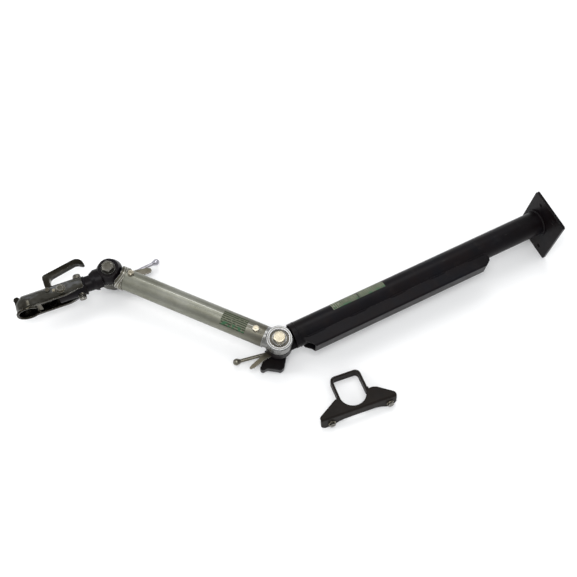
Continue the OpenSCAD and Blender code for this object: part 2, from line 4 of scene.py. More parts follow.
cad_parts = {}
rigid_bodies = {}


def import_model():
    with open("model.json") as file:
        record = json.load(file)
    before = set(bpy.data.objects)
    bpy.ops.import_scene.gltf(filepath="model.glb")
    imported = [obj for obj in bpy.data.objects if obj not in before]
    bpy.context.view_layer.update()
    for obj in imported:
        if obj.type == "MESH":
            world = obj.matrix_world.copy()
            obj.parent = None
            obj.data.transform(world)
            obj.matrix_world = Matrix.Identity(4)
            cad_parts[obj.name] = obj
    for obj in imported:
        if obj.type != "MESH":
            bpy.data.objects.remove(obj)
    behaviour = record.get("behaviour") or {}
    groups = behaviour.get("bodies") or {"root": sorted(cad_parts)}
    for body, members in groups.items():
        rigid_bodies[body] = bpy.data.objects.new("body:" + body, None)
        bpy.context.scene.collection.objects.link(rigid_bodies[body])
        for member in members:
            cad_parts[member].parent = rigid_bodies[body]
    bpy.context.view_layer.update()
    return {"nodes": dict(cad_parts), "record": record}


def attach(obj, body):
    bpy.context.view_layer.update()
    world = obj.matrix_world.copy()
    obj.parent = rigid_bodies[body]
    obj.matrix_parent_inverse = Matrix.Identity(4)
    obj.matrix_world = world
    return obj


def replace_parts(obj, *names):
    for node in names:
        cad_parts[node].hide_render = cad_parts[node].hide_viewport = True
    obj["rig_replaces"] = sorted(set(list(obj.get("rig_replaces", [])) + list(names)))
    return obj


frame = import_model()
N = frame["nodes"]

# ------------------------------------------------------------------ materials
def new_mat(name):
    m = bpy.data.materials.new(name)
    m.use_nodes = True
    nt = m.node_tree
    nt.nodes.clear()
    out = nt.nodes.new("ShaderNodeOutputMaterial")
    b = nt.nodes.new("ShaderNodeBsdfPrincipled")
    nt.links.new(b.outputs[0], out.inputs[0])
    return m, nt, b

def ramp(nt, fac, stops):
    r = nt.nodes.new("ShaderNodeValToRGB")
    while len(r.color_ramp.elements) > 1:
        r.color_ramp.elements.remove(r.color_ramp.elements[-1])
    r.color_ramp.elements[0].position = stops[0][0]
    r.color_ramp.elements[0].color = (*stops[0][1], 1)
    for p, c in stops[1:]:
        e = r.color_ramp.elements.new(p)
        e.color = (*c, 1)
    nt.links.new(fac, r.inputs[0])
    return r.outputs[0]

def noise(nt, scale, detail=4, rough=0.55, stretch=None, rot=None, seed=(0, 0, 0)):
    tc = nt.nodes.new("ShaderNodeTexCoord")
    mp = nt.nodes.new("ShaderNodeMapping")
    mp.inputs["Location"].default_value = seed
    if stretch:
        mp.inputs["Scale"].default_value = stretch
    if rot:
        mp.inputs["Rotation"].default_value = rot
    n = nt.nodes.new("ShaderNodeTexNoise")
    n.inputs["Scale"].default_value = scale
    n.inputs["Detail"].default_value = detail
    n.inputs["Roughness"].default_value = rough
    nt.links.new(tc.outputs["Object"], mp.inputs[0])
    nt.links.new(mp.outputs[0], n.inputs["Vector"])
    return n.outputs[0]

def mix(nt, fac, a, b, mode="MIX"):
    x = nt.nodes.new("ShaderNodeMix")
    x.data_type = "RGBA"
    x.blend_type = mode
    for k, v in ((0, fac), (6, a), (7, b)):
        if isinstance(v, (int, float)):
            x.inputs[k].default_value = v
        elif isinstance(v, tuple):
            x.inputs[k].default_value = (*v, 1)
        else:
            nt.links.new(v, x.inputs[k])
    return x.outputs[2]

def maths(nt, op, a, b=None):
    x = nt.nodes.new("ShaderNodeMath")
    x.operation = op
    x.use_clamp = True
    for k, v in ((0, a), (1, b)):
        if v is None:
            continue
        if isinstance(v, (int, float)):
            x.inputs[k].default_value = v
        else:
            nt.links.new(v, x.inputs[k])
    return x.outputs[0]

def maprange(nt, v, a, b, c, d):
    x = nt.nodes.new("ShaderNodeMapRange")
    nt.links.new(v, x.inputs[0])
    for k, w in zip((1, 2, 3, 4), (a, b, c, d)):
        x.inputs[k].default_value = w
    return x.outputs[0]

def edge_mask(nt, radius, lo=0.985, hi=0.90):
    """1 near sharp edges, 0 on flats"""
    bv = nt.nodes.new("ShaderNodeBevel")
    bv.samples = 6
    bv.inputs[0].default_value = radius
    g = nt.nodes.new("ShaderNodeNewGeometry")
    d = nt.nodes.new("ShaderNodeVectorMath")
    d.operation = "DOT_PRODUCT"
    nt.links.new(bv.outputs[0], d.inputs[0])
    nt.links.new(g.outputs["Normal"], d.inputs[1])
    return maprange(nt, d.outputs["Value"], lo, hi, 0, 1)

def bump(nt, bsdf, height, strength, dist):
    b = nt.nodes.new("ShaderNodeBump")
    b.inputs["Strength"].default_value = strength
    b.inputs["Distance"].default_value = dist
    nt.links.new(height, b.inputs["Height"])
    nt.links.new(b.outputs[0], bsdf.inputs["Normal"])

def enamel(name, dark, light, wear, rough=(0.28, 0.45), wear_amount=0.6, seed=0):
    m, nt, b = new_mat(name)
    big = noise(nt, 6, 5, 0.6, seed=(seed, 0, 0))
    fine = noise(nt, 130, 3, 0.5)
    dustn = noise(nt, 28, 6, 0.7, seed=(0, seed, 3))
    col = ramp(nt, big, [(0.3, dark), (0.7, light)])
    dust = maprange(nt, dustn, 0.55, 0.8, 0.0, 0.35)
    col = mix(nt, dust, col, (0.12, 0.11, 0.10))
    e = edge_mask(nt, 0.0012)
    chips = maprange(nt, noise(nt, 300, 4, 0.7, seed=(1, 2, seed)), 0.50, 0.58, 0, 1)
    w = maths(nt, "MULTIPLY", maths(nt, "MULTIPLY", e, chips), wear_amount)
    col = mix(nt, w, col, wear)
    nt.links.new(col, b.inputs["Base Color"])
    r = maprange(nt, dustn, 0.3, 0.75, *rough)
    nt.links.new(r, b.inputs["Roughness"])
    b.inputs["Metallic"].default_value = 0.0
    b.inputs["Coat Weight"].default_value = 0.25
    b.inputs["Coat Roughness"].default_value = 0.15
    bump(nt, b, fine, 0.12, 0.0006)
    return m

def zinc(name, dark, mid, light, rough=(0.28, 0.5), tint=(0.75, 0.72, 0.60), stretch=(1, 1, 1), rot=None, metallic=0.9, seed=0):
    m, nt, b = new_mat(name)
    big = noise(nt, 9, 5, 0.6, stretch=stretch, rot=rot, seed=(seed, 1, 0))
    streak = noise(nt, 60, 6, 0.65, stretch=stretch, rot=rot, seed=(0, seed, 0))
    spangle = noise(nt, 220, 2, 0.5, seed=(seed, seed, 0))
    col = ramp(nt, big, [(0.28, dark), (0.5, mid), (0.74, light)])
    col = mix(nt, maprange(nt, streak, 0.4, 0.75, 0.0, 0.5), col, tint, "MULTIPLY")
    e = edge_mask(nt, 0.001)
    col = mix(nt, maths(nt, "MULTIPLY", e, 0.5), col, (0.85, 0.85, 0.84))
    nt.links.new(col, b.inputs["Base Color"])
    b.inputs["Metallic"].default_value = metallic
    r = maprange(nt, streak, 0.3, 0.75, *rough)
    nt.links.new(r, b.inputs["Roughness"])
    bump(nt, b, spangle, 0.08, 0.0004)
    return m

def combine(nt, v, k):
    s = nt.nodes.new("ShaderNodeSeparateXYZ")
    nt.links.new(v, s.inputs[0])
    return s.outputs[k]

def local(nt, rot=0.0, origin=(0, 0, 0)):
    """object coordinates, moved to an origin and turned about Z"""
    tc = nt.nodes.new("ShaderNodeTexCoord")
    mp = nt.nodes.new("ShaderNodeMapping")
    mp.vector_type = "TEXTURE"
    mp.inputs["Location"].default_value = origin
    mp.inputs["Rotation"].default_value = (0, 0, rot)
    nt.links.new(tc.outputs["Object"], mp.inputs[0])
    return mp.outputs[0]

def noise_at(nt, vec, scale, detail=3, rough=0.5, stretch=(1, 1, 1)):
    mp = nt.nodes.new("ShaderNodeMapping")
    mp.inputs["Scale"].default_value = stretch
    n = nt.nodes.new("ShaderNodeTexNoise")
    n.inputs["Scale"].default_value = scale
    n.inputs["Detail"].default_value = detail
    n.inputs["Roughness"].default_value = rough
    nt.links.new(vec, mp.inputs[0])
    nt.links.new(mp.outputs[0], n.inputs["Vector"])
    return n

def black_paint(name, dark, warm, cool, rough, coat, wear, wear_amount, seed, orange=0.10):
    """semi-gloss black paint: warm and cool clouding, dust, orange peel, rubbed edges"""
    m, nt, b = new_mat(name)
    v = local(nt)
    cloud = noise_at(nt, v, 7 + seed, 4, 0.6)
    tint = noise_at(nt, v, 16 + seed, 5, 0.65)
    dustn = noise_at(nt, v, 34, 7, 0.72)
    peel = noise_at(nt, v, 420, 2, 0.5)
    scr = noise_at(nt, v, 90, 6, 0.7, (0.12, 1, 1))
    col = ramp(nt, cloud.outputs[0], [(0.30, dark), (0.52, warm), (0.72, cool)])
    col = mix(nt, maprange(nt, tint.outputs[0], 0.40, 0.70, 0.0, 0.55), col, cool)
    col = mix(nt, maprange(nt, dustn.outputs[0], 0.56, 0.80, 0.0, 0.14), col, (0.06, 0.054, 0.048))
    col = mix(nt, maprange(nt, scr.outputs[0], 0.66, 0.72, 0.0, 0.22), col, (0.08, 0.075, 0.07))
    e = edge_mask(nt, 0.0013)
    chips = maprange(nt, noise_at(nt, v, 260, 5, 0.75).outputs[0], 0.50, 0.57, 0, 1)
    w = maths(nt, "MULTIPLY", maths(nt, "MULTIPLY", e, chips), wear_amount)
    col = mix(nt, w, col, wear)
    nt.links.new(col, b.inputs["Base Color"])
    nt.links.new(maprange(nt, dustn.outputs[0], 0.3, 0.75, *rough), b.inputs["Roughness"])
    b.inputs["Specular IOR Level"].default_value = 0.10
    b.inputs["Coat Weight"].default_value = coat
    b.inputs["Coat Roughness"].default_value = 0.22
    bump(nt, b, peel.outputs[0], orange, 0.0005)
    return m

def plated(name, stops, rough, metallic, rot, seed, streak_amt=0.45, dirt=(0.10, 0.095, 0.07), dirt_amt=0.5, edge_col=(0.85, 0.85, 0.82), edge_amt=0.5, along=0.06, turned=None, sink=None):
    """passivated zinc: clouded yellow-green to grey bloom, long streaks, crystals, dirt in patches, edges painted
    lighter (polish, and painted highlight); optional rings painted as light and shade and a darkening round a pivot
    """
    m, nt, b = new_mat(name)
    v = local(nt, rot)
    cloud = noise_at(nt, v, 10 + seed, 5, 0.62, (0.6, 1, 1))
    streak = noise_at(nt, v, 95, 6, 0.65, (along, 1, 1))
    patch = noise_at(nt, v, 22 + 2 * seed, 6, 0.7)
    vor = nt.nodes.new("ShaderNodeTexVoronoi")
    vor.inputs["Scale"].default_value = 330
    nt.links.new(v, vor.inputs["Vector"])
    fine = noise_at(nt, v, 500, 3, 0.6)
    col = ramp(nt, cloud.outputs[0], stops)
    col = mix(nt, maprange(nt, streak.outputs[0], 0.42, 0.72, 0.0, streak_amt), col, (0.80, 0.78, 0.66), "MULTIPLY")
    col = mix(nt, maprange(nt, combine(nt, vor.outputs["Color"], 0), 0.0, 1.0, 0.0, 0.16), col, (0.62, 0.66, 0.70), "MULTIPLY")
    col = mix(nt, maprange(nt, patch.outputs[0], 0.52, 0.78, 0.0, dirt_amt), col, dirt)
    if turned:
        # rings round the pivot painted as light and shade: painted shade over the recess round the washer, thin painted
        # highlight rings, darker painted shade rings
        centre, light_and_shade_rings, pivot_darkening = turned
        r = radius(nt, centre)
        for r0, r1, c, amt in light_and_shade_rings:
            band = maths(nt, "MULTIPLY", maprange(nt, r, r0 - 0.0006, r0, 0, 1), maprange(nt, r, r1, r1 + 0.0006, 1, 0))
            col = mix(nt, maths(nt, "MULTIPLY", band, maprange(nt, cloud.outputs[0], 0.3, 0.7, amt, 1.0 if amt > 0.8 else amt + 0.15)), col, c)
        # darker towards the pivot: painted shade round the front pivot under the black lever nut; on the link tube,
        # only darker towards the rear pivot
        if pivot_darkening:
            col = mix(nt, maprange(nt, r, pivot_darkening[0], pivot_darkening[1], pivot_darkening[2], 0.0), col, pivot_darkening[3])
    # all edges painted lighter: polish on worn edges, and painted highlight along them
    e = edge_mask(nt, 0.0011)
    col = mix(nt, maths(nt, "MULTIPLY", e, edge_amt), col, edge_col)
    nt.links.new(col, b.inputs["Base Color"])
    b.inputs["Metallic"].default_value = metallic
    r1 = maprange(nt, patch.outputs[0], 0.3, 0.75, *rough)
    nt.links.new(r1, b.inputs["Roughness"])
    h = mix(nt, 0.5, fine.outputs[0], streak.outputs[0])
    bump(nt, b, h, 0.10, 0.0004)
    return m

def radius(nt, centre):
    """distance from a pivot axis, seen along the axis"""
    v = local(nt, 0.0, centre)
    x, y = combine(nt, v, 0), combine(nt, v, 1)
    return maths_free(nt, "SQRT", maths_free(nt, "ADD", maths_free(nt, "MULTIPLY", x, x), maths_free(nt, "MULTIPLY", y, y)), 0)

def printed(name, rot, origin, pitch, row_axis, base, ink, a_scale, marks, mark_axis, mark_lo, mark_hi, ink_amt=0.8):
    """pale sticker with rows of small unreadable dashes and a strip of small solid marks"""
    m, nt, b = new_mat(name)
    v = local(nt, rot, origin)
    rows = maths(nt, "FRACT", maths_free(nt, "MULTIPLY", combine(nt, v, row_axis), 1 / pitch))
    line = maths(nt, "MULTIPLY", maprange(nt, rows, 0.36, 0.44, 0, 1), maprange(nt, rows, 0.90, 0.98, 1, 0))
    stretch = (1 / pitch, 0, a_scale) if row_axis == 0 else (a_scale, 1 / pitch, 1 / pitch)
    dash = noise_at(nt, v, 1.0, 1, 0.3, stretch)
    words = maprange(nt, dash.outputs[0], 0.30, 0.40, 0, 1)
    blocks = noise_at(nt, v, marks, 0, 0.0, (1, 1, 0.35))
    blk = maprange(nt, blocks.outputs[0], 0.53, 0.55, 0, 1)
    side = combine(nt, v, mark_axis)
    strip = maths(nt, "MULTIPLY", maprange(nt, side, mark_lo, mark_lo + 0.0008, 0, 1), maprange(nt, side, mark_hi - 0.0008, mark_hi, 1, 0))
    blk = maths(nt, "MULTIPLY", blk, strip)
    cloud = noise_at(nt, v, 30, 4, 0.6)
    col = ramp(nt, cloud.outputs[0], [(0.3, base[0]), (0.7, base[1])])
    col = mix(nt, maths(nt, "MULTIPLY", maths(nt, "MULTIPLY", line, words), ink_amt), col, ink)
    col = mix(nt, maths(nt, "MULTIPLY", blk, 0.9), col, (0.030, 0.095, 0.045))
    wear = noise_at(nt, v, 160, 6, 0.7)
    col = mix(nt, maprange(nt, wear.outputs[0], 0.60, 0.74, 0.0, 0.25), col, (0.22, 0.23, 0.18))
    nt.links.new(col, b.inputs["Base Color"])
    nt.links.new(maprange(nt, wear.outputs[0], 0.3, 0.7, 0.34, 0.55), b.inputs["Roughness"])
    b.inputs["Specular IOR Level"].default_value = 0.15
    bump(nt, b, wear.outputs[0], 0.08, 0.0003)
    return m

def maths_free(nt, op, a, b):
    x = nt.nodes.new("ShaderNodeMath")
    x.operation = op
    for k, v in ((0, a), (1, b)):
        if isinstance(v, (int, float)):
            x.inputs[k].default_value = v
        else:
            nt.links.new(v, x.inputs[k])
    return x.outputs[0]

R130 = math.radians(130)
R_5 = math.radians(-5)
M = {}
M["black_enamel"] = black_paint("black_enamel", (0.0016, 0.0013, 0.0018), (0.0058, 0.0036, 0.0040), (0.0030, 0.0038, 0.0062), (0.30, 0.46), 0.0, (0.15, 0.14, 0.13), 0.45, 0)
M["black_casting"] = black_paint("black_casting", (0.0014, 0.0011, 0.0014), (0.0052, 0.0032, 0.0028), (0.0030, 0.0038, 0.0068), (0.30, 0.48), 0.0, (0.20, 0.18, 0.17), 0.6, 2, 0.22)
M["saddle_enamel"] = black_paint("saddle_enamel", (0.0042, 0.0028, 0.0020), (0.0105, 0.0072, 0.0052), (0.0075, 0.0062, 0.0055), (0.40, 0.56), 0.0, (0.17, 0.15, 0.13), 0.45, 5, 0.16)
# link tube zinc: darker towards the rear pivot, within 135 mm of it
M["zinc_tube"] = plated("zinc_tube", [(0.26, (0.135, 0.135, 0.105)), (0.48, (0.205, 0.205, 0.17)), (0.74, (0.29, 0.29, 0.26))], (0.34, 0.48), 0.90, R130, 1, 0.5, (0.10, 0.095, 0.06), 0.4,
    turned=((-0.842, 0, 0), (), (0.050, 0.135, 0.62, (0.050, 0.040, 0.026))))
# rear head zinc: round the rear pivot, painted shade over the recess round the washer, thin painted highlight rings at
# 27 and 33 mm, a darker painted shade ring at 30 to 31.6 mm
M["zinc_head"] = plated("zinc_head", [(0.26, (0.12, 0.118, 0.108)), (0.48, (0.20, 0.198, 0.19)), (0.74, (0.31, 0.31, 0.315))], (0.20, 0.38), 0.94, 0.0, 2, 0.35, (0.07, 0.06, 0.04), 0.45, (0.82, 0.82, 0.84), 0.8, along=1.0,
    turned=((-0.842, 0, 0), ((0.0205, 0.0262, (0.055, 0.050, 0.040), 0.85), (0.0272, 0.0282, (0.62, 0.62, 0.64), 0.35), (0.0302, 0.0316, (0.13, 0.125, 0.11), 0.6), (0.0328, 0.0338, (0.60, 0.61, 0.63), 0.45)), None))
# front head zinc: darker than the rear head's as painted shade under the black lever nut, darker still within 50 mm of
# the front pivot as painted shade, thin painted highlight rings at 45 and 50 mm
M["zinc_front"] = plated("zinc_front", [(0.26, (0.085, 0.08, 0.055)), (0.48, (0.16, 0.15, 0.115)), (0.74, (0.25, 0.24, 0.205))], (0.22, 0.40), 0.95, 0.0, 7, 0.35, (0.04, 0.034, 0.02), 0.55, (0.78, 0.77, 0.74), 0.9, along=1.0,
    turned=((-0.842 - 0.510 * math.cos(math.radians(50)), 0.510 * math.sin(math.radians(50)), 0), ((0.0452, 0.0462, (0.75, 0.74, 0.70), 0.6), (0.0505, 0.0513, (0.65, 0.64, 0.60), 0.5)), (0.036, 0.050, 0.88, (0.020, 0.017, 0.012))))
M["zinc_pressing"] = plated("zinc_pressing", [(0.32, (0.010, 0.009, 0.006)), (0.48, (0.030, 0.027, 0.020)), (0.60, (0.080, 0.077, 0.066)), (0.70, (0.24, 0.245, 0.26))], (0.12, 0.28), 0.97, R_5, 3, 0.4, (0.014, 0.011, 0.007), 0.55, (0.62, 0.60, 0.58), 0.8, 0.2)
M["lever_steel"] = plated("lever_steel", [(0.26, (0.055, 0.050, 0.034)), (0.48, (0.10, 0.090, 0.068)), (0.74, (0.20, 0.19, 0.16))], (0.24, 0.42), 0.95, 0.0, 3, 0.4, (0.05, 0.042, 0.03), 0.5, along=0.5)
M["bar_bright"] = plated("bar_bright", [(0.26, (0.24, 0.235, 0.26)), (0.48, (0.36, 0.35, 0.385)), (0.74, (0.52, 0.51, 0.56))], (0.22, 0.38), 0.93, 0.0, 5, 0.3, (0.20, 0.18, 0.16), 0.4, (0.92, 0.90, 0.92), 0.6, along=0.5)
M["fastener_zinc"] = plated("fastener_zinc", [(0.26, (0.26, 0.225, 0.155)), (0.48, (0.40, 0.355, 0.265)), (0.74, (0.54, 0.50, 0.41))], (0.20, 0.38), 0.96, 0.0, 4, 0.3, (0.10, 0.075, 0.045), 0.5, (0.90, 0.87, 0.78), 0.8, 1.0)
M["fastener_dull"] = plated("fastener_dull", [(0.26, (0.060, 0.056, 0.042)), (0.48, (0.115, 0.108, 0.09)), (0.74, (0.22, 0.21, 0.20))], (0.20, 0.38), 0.96, 0.0, 6, 0.3, (0.06, 0.05, 0.03), 0.5, (0.86, 0.84, 0.80), 0.8, 1.0)
M["dark_steel"] = plated("dark_steel", [(0.26, (0.020, 0.018, 0.015)), (0.48, (0.036, 0.034, 0.030)), (0.74, (0.06, 0.058, 0.052))], (0.28, 0.45), 0.9, 0.0, 5, 0.3, (0.014, 0.012, 0.010), 0.5, along=1.0)
M["spring_steel"] = plated("spring_steel", [(0.26, (0.08, 0.08, 0.085)), (0.48, (0.16, 0.16, 0.17)), (0.74, (0.28, 0.28, 0.28))], (0.22, 0.38), 0.95, 0.0, 6, 0.3, along=1.0)
M["sticker"] = printed("sticker", 0.0, (-0.674, 0, 0), 0.0058, 0, ((0.14, 0.155, 0.11), (0.23, 0.25, 0.18)), (0.030, 0.040, 0.022), 150, 100, 1, 0.005, 0.0125, 1.0)
M["sticker_link"] = printed("sticker_link", R130, (-0.842, 0, 0), 0.0058, 1, ((0.085, 0.095, 0.062), (0.155, 0.16, 0.115)), (0.016, 0.024, 0.012), 150, 105, 1, 0.012, 0.022, 0.9)

USE = {"front_head_washer": "dark_steel", "rear_head_washer": "zinc_head", "link_rear_head": "zinc_head", "link_front_head": "zinc_front",
       "link_label": "sticker_link", "rear_lock_blade": "lever_steel", "front_lock_blade": "lever_steel", "ball_jaw": "lever_steel",
       "coupling_washers": "lever_steel", "shell_rivets": "fastener_zinc", "handle_pin": "lever_steel", "front_thrust_washer": "zinc_front", "front_lever_bar": "bar_bright", "link_cross_washers": "zinc_front"}
slot_of = {s["node"]: s["material_slot"] for s in frame["record"]["subparts"]}
for n, o in N.items():
    o.data.materials.clear()
    o.data.materials.append(M[USE.get(n, slot_of[n])])

# ------------------------------------------------------------------ frames of the moving parts
P2 = Vector((-0.842, 0, 0))
P1 = Vector((-0.842 - 0.510 * math.cos(math.radians(50)), 0.510 * math.sin(math.radians(50)), 0))
IN_LINK = Matrix.Translation(P2) @ Matrix.Rotation(math.radians(130), 4, "Z")
IN_HEAD = Matrix.Translation(P1) @ Matrix.Rotation(math.radians(-5), 4, "Z")
IN_SADDLE = Matrix.Translation((-0.7252, -0.2461, -0.0436)) @ Matrix.Rotation(math.radians(-7), 4, "Z") @ Matrix.Rotation(math.radians(-12.7), 4, "X")
HEAD = math.radians

def link_obj(o):
    bpy.context.scene.collection.objects.link(o)
    return o

def finish_piece(o, mat, body, slot_name, *nodes):
    o.data.materials.clear()
    o.data.materials.append(mat)
    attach(o, body)
    if nodes:
        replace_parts(o, *nodes)
    return o

def shade(me, angle=30):
    """smooth faces, with edges sharper than the angle kept crisp"""
    for p in me.polygons:
        p.use_smooth = True
    me.set_sharp_from_angle(angle=math.radians(angle))

# ------------------------------------------------------------------ turned and hexagonal hardware
def hexr(t, af):
    k = (t + math.pi / 6) % (math.pi / 3) - math.pi / 6
    return af / 2 / math.cos(k)

def lathe(bm, rows, n, M4, close=False):
    """rows: list of functions angle -> (radius, height); joined into a skin"""
    ring = []
    for f in rows:
        vs = []
        for i in range(n):
            t = 2 * math.pi * i / n
            r, z = f(t)
            vs.append(bm.verts.new(M4 @ Vector((r * math.cos(t), r * math.sin(t), z))))
        ring.append(vs)
    pairs = list(zip(ring, ring[1:]))
    if close:
        pairs.append((ring[-1], ring[0]))
    for a, b in pairs:
        for i in range(n):
            j = (i + 1) % n
            bm.faces.new((a[i], a[j], b[j], b[i]))
    if not close:
        for vs, flip in ((ring[0], True), (ring[-1], False)):
            c = bm.verts.new(sum((v.co for v in vs), Vector()) / n)
            for i in range(n):
                j = (i + 1) % n
                bm.faces.new((vs[j], vs[i], c) if flip else (vs[i], vs[j], c))

def const(r, z):
    return lambda t: (r, z)

def hex_rows(af, z0, z1, chamfer0, chamfer1, n_dome=0):
    """skin of a hexagonal prism with the corners turned down at 30 degrees"""
    rc = af / 2 * 0.96
    k = math.tan(math.radians(30))
    rows = []
    if chamfer0:
        rows += [const(rc, z0), lambda t: (hexr(t, af) - 0.00005, z0 + (hexr(t, af) - rc) * k)]
    else:
        rows += [lambda t: (hexr(t, af) - 0.00015, z0), lambda t: (hexr(t, af), z0 + 0.00015)]
    if chamfer1:
        rows += [lambda t: (hexr(t, af), z1 - (hexr(t, af) - rc) * k - 0.0002), lambda t: (hexr(t, af) - 0.00015, z1 - (hexr(t, af) - rc) * k), const(rc, z1)]
    else:
        rows += [lambda t: (hexr(t, af), z1 - 0.00015), lambda t: (hexr(t, af) - 0.00015, z1)]
    return rows

def bolt(bm, M4, af, hz0, hz1, r, end, thread_from, pitch):
    """hex bolt whose head lies between hz0 and hz1 (hz1 on top) and whose shank runs down to end"""
    rows = []
    n = 72
    # from the tip up to the head
    depth = 0.6 * pitch
    z = end
    rows.append(const(r * 0.78, z))
    rows.append(const(r - depth, z + 0.0006))
    z += 0.001
    while z < thread_from:
        def f(t, z=z):
            ph = (z / pitch - t / (2 * math.pi)) % 1.0
            d = depth * abs(ph - 0.5) * 2
            lead = min(1.0, (z - end) / (1.5 * pitch))
            run = min(1.0, max(0.0, (thread_from - z) / (1.5 * pitch)))
            return (r - depth * (1 - lead) - d * min(lead, 1.0) * (run if run < 1 else 1.0), z)
        rows.append(f)
        z += pitch / 5
    rows.append(const(r, thread_from + 0.0004))
    rows.append(const(r, hz0 - 0.0002))
    rows.append(const(af / 2 * 0.93, hz0 - 0.0002))
    rows.append(const(af / 2 * 0.93, hz0 + 0.0003))
    rows += hex_rows(af, hz0 + 0.0003, hz1, False, True)
    # shallow turned dish with a raised centre
    top = hz1
    rows += [const(af / 2 * 0.80, top - 0.0001), const(af / 2 * 0.76, top - 0.0005), const(af / 2 * 0.30, top - 0.0006), const(af / 2 * 0.05, top - 0.00045)]
    lathe(bm, rows, n, M4)

def nut(bm, M4, af, z0, z1, r):
    rows = hex_rows(af, z0, z1, True, True)
    rows += [const(r * 1.12, z1), const(r * 0.98, z1 - 0.001), const(r * 0.98, z0 + 0.001), const(r * 1.12, z0)]
    lathe(bm, rows, 72, M4, close=True)

def from_bm(bm, name, angle=28):
    bmesh.ops.recalc_face_normals(bm, faces=bm.faces)
    me = bpy.data.meshes.new(name)
    bm.to_mesh(me)
    bm.free()
    shade(me, angle)
    return link_obj(bpy.data.objects.new(name, me))

DOWN_V = Matrix.Rotation(math.radians(90), 4, "X")      # local z runs along -v
mm = 0.001
for nm, P, body in (("rear_pivot_bolt", P2, "beam"), ("front_pivot_bolt", P1, "link")):
    bm = bmesh.new()
    bolt(bm, Matrix.Translation(P) @ Matrix.Rotation(math.radians(14 if nm[0] == "r" else 47), 4, "Z"), 30 * mm, 33.4 * mm, 46 * mm, 10 * mm, -92 * mm, -44 * mm, 2.5 * mm)
    finish_piece(from_bm(bm, nm + "_detail"), M["fastener_zinc" if nm[0] == "r" else "fastener_dull"], body, "fastener_zinc", nm)
bm = bmesh.new()
for x, tilt, a in ((68, 0, 10), (447, 20, 33)):
    bolt(bm, IN_LINK @ Matrix.Translation((x * mm, 0, 0)) @ Matrix.Rotation(math.radians(tilt), 4, "X") @ Matrix.Rotation(math.radians(a), 4, "Z"), 16 * mm, 31.7 * mm, 38.1 * mm, 5 * mm, -14 * mm, 18 * mm, 1.5 * mm)
finish_piece(from_bm(bm, "link_screws_detail"), M["fastener_zinc"], "link", "fastener_zinc", "link_cross_bolts")
bm = bmesh.new()
UP = IN_HEAD @ Matrix.Translation((-90 * mm, 0, 0)) @ Matrix.Rotation(math.radians(-90), 4, "X")   # local z runs along +v
bolt(bm, UP @ Matrix.Rotation(math.radians(20), 4, "Z"), 19 * mm, 18.5 * mm, 26 * mm, 6 * mm, -50.4 * mm, -26 * mm, 1.75 * mm)
finish_piece(from_bm(bm, "upright_bolt_detail"), M["fastener_dull"], "hitch", "fastener_zinc", "coupling_upright_bolt")
bm = bmesh.new()
CR = IN_HEAD @ Matrix.Translation((-138 * mm, -12 * mm, 0))
bolt(bm, CR @ Matrix.Rotation(math.radians(38), 4, "Z"), 19 * mm, 30.7 * mm, 38.2 * mm, 6 * mm, -42 * mm, -22 * mm, 1.75 * mm)
finish_piece(from_bm(bm, "cross_bolt_detail"), M["fastener_dull"], "hitch", "fastener_zinc", "coupling_cross_bolt")
bm = bmesh.new()
nut(bm, UP @ Matrix.Rotation(math.radians(8), 4, "Z"), 19 * mm, -49.3 * mm, -39.3 * mm, 6 * mm)
nut(bm, CR @ Matrix.Rotation(math.radians(3), 4, "Z"), 19 * mm, -40.6 * mm, -30.6 * mm, 6 * mm)
finish_piece(from_bm(bm, "coupling_nuts_detail"), M["fastener_dull"], "hitch", "fastener_zinc", "coupling_nuts")
bm = bmesh.new()
bn = bmesh.new()
for s, a in ((-79, 12), (90, 41)):
    SB = IN_SADDLE @ Matrix.Translation((s * mm, 0, -32 * mm)) @ Matrix.Rotation(math.radians(90), 4, "X") @ Matrix.Rotation(math.radians(a), 4, "Z")
    bolt(bm, SB, 16 * mm, 2.1 * mm, 8.5 * mm, 5 * mm, -20 * mm, -7 * mm, 1.5 * mm)
    nut(bn, SB, 16 * mm, -14.1 * mm, -6.1 * mm, 5 * mm)
finish_piece(from_bm(bm, "saddle_bolts_detail"), M["fastener_dull"], "beam", "fastener_zinc", "saddle_bolts")
finish_piece(from_bm(bn, "saddle_nuts_detail"), M["fastener_dull"], "beam", "fastener_zinc", "saddle_nuts")

# ------------------------------------------------------------------ castings and pressings with rounded forms
def rounded_copy(node, voxel, smooth, body, mat, slot_name, name=None):
    src = N[node]
    me = src.data.copy()
    bm = bmesh.new()
    bm.from_mesh(me)
    bmesh.ops.remove_doubles(bm, verts=bm.verts, dist=2e-6)
    bm.to_mesh(me)
    bm.free()
    o = link_obj(bpy.data.objects.new(name or node + "_cast", me))
    r = o.modifiers.new("remesh", "REMESH")
    r.mode = "VOXEL"
    r.voxel_size = voxel
    r.use_smooth_shade = True
    s = o.modifiers.new("smooth", "SMOOTH")
    s.factor = 0.5
    s.iterations = smooth
    bpy.context.view_layer.update()
    dg = bpy.context.evaluated_depsgraph_get()
    out = bpy.data.meshes.new_from_object(o.evaluated_get(dg))
    o.modifiers.clear()
    o.data = out
    for p in out.polygons:
        p.use_smooth = True
    return finish_piece(o, mat, body, slot_name, node)

rounded_copy("coupling_shell", 0.00065, 9, "hitch", M["zinc_pressing"], "zinc_pressing")
rounded_copy("release_handle", 0.0008, 9, "handle", M["zinc_pressing"], "zinc_pressing")
rounded_copy("rear_lever_nut", 0.0011, 5, "rear_lever", M["black_casting"], "black_casting")
rounded_copy("front_lever_nut", 0.0010, 4, "front_lever", M["black_casting"], "black_casting")
rounded_copy("rear_lever_bar", 0.0007, 3, "rear_lever", M["lever_steel"], "fastener_zinc")
rounded_copy("front_lever_bar", 0.0007, 3, "front_lever", M["bar_bright"], "fastener_zinc")
rounded_copy("saddle_plate", 0.0010, 2, "beam", M["saddle_enamel"], "saddle_enamel")

